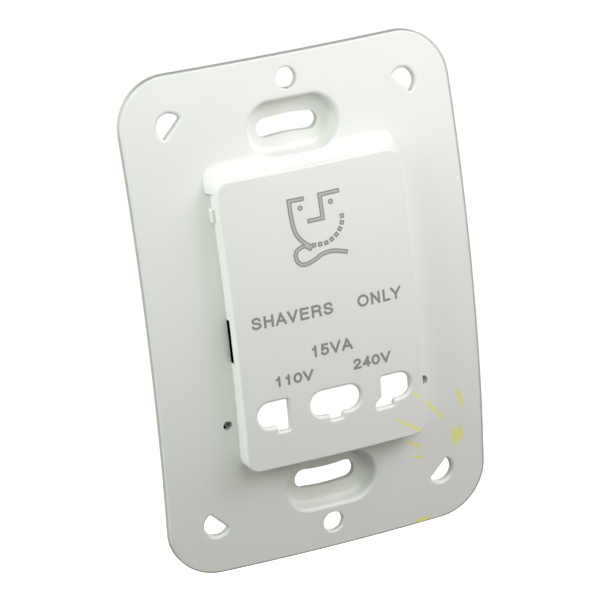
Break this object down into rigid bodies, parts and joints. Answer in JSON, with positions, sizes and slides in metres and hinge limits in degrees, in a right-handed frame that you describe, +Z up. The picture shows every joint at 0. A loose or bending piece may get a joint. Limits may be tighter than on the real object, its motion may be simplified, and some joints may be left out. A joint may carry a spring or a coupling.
{
  "type": "shaver socket front plate",
  "caption": "Bowed white front plate of a shaver socket: round-cornered flange with slotted screw wells and clip holes, and a hollow raised block with shaped pin apertures.",
  "frame": {"origin": "midway between the two fixing screws, on the wall plane that the backs of the screw wells sit on", "axes": "+Z up the wall, +X to the right as seen from the room, -Y out of the wall towards the viewer"},
  "size_m": [0.0797, 0.0137, 0.1172],
  "materials": {
    "white_plastic": "injection-moulded white thermoplastic with a soft sheen"
  },
  "bodies": {
    "root": {"front_plate": "white_plastic"}
  },
  "joints": []
}
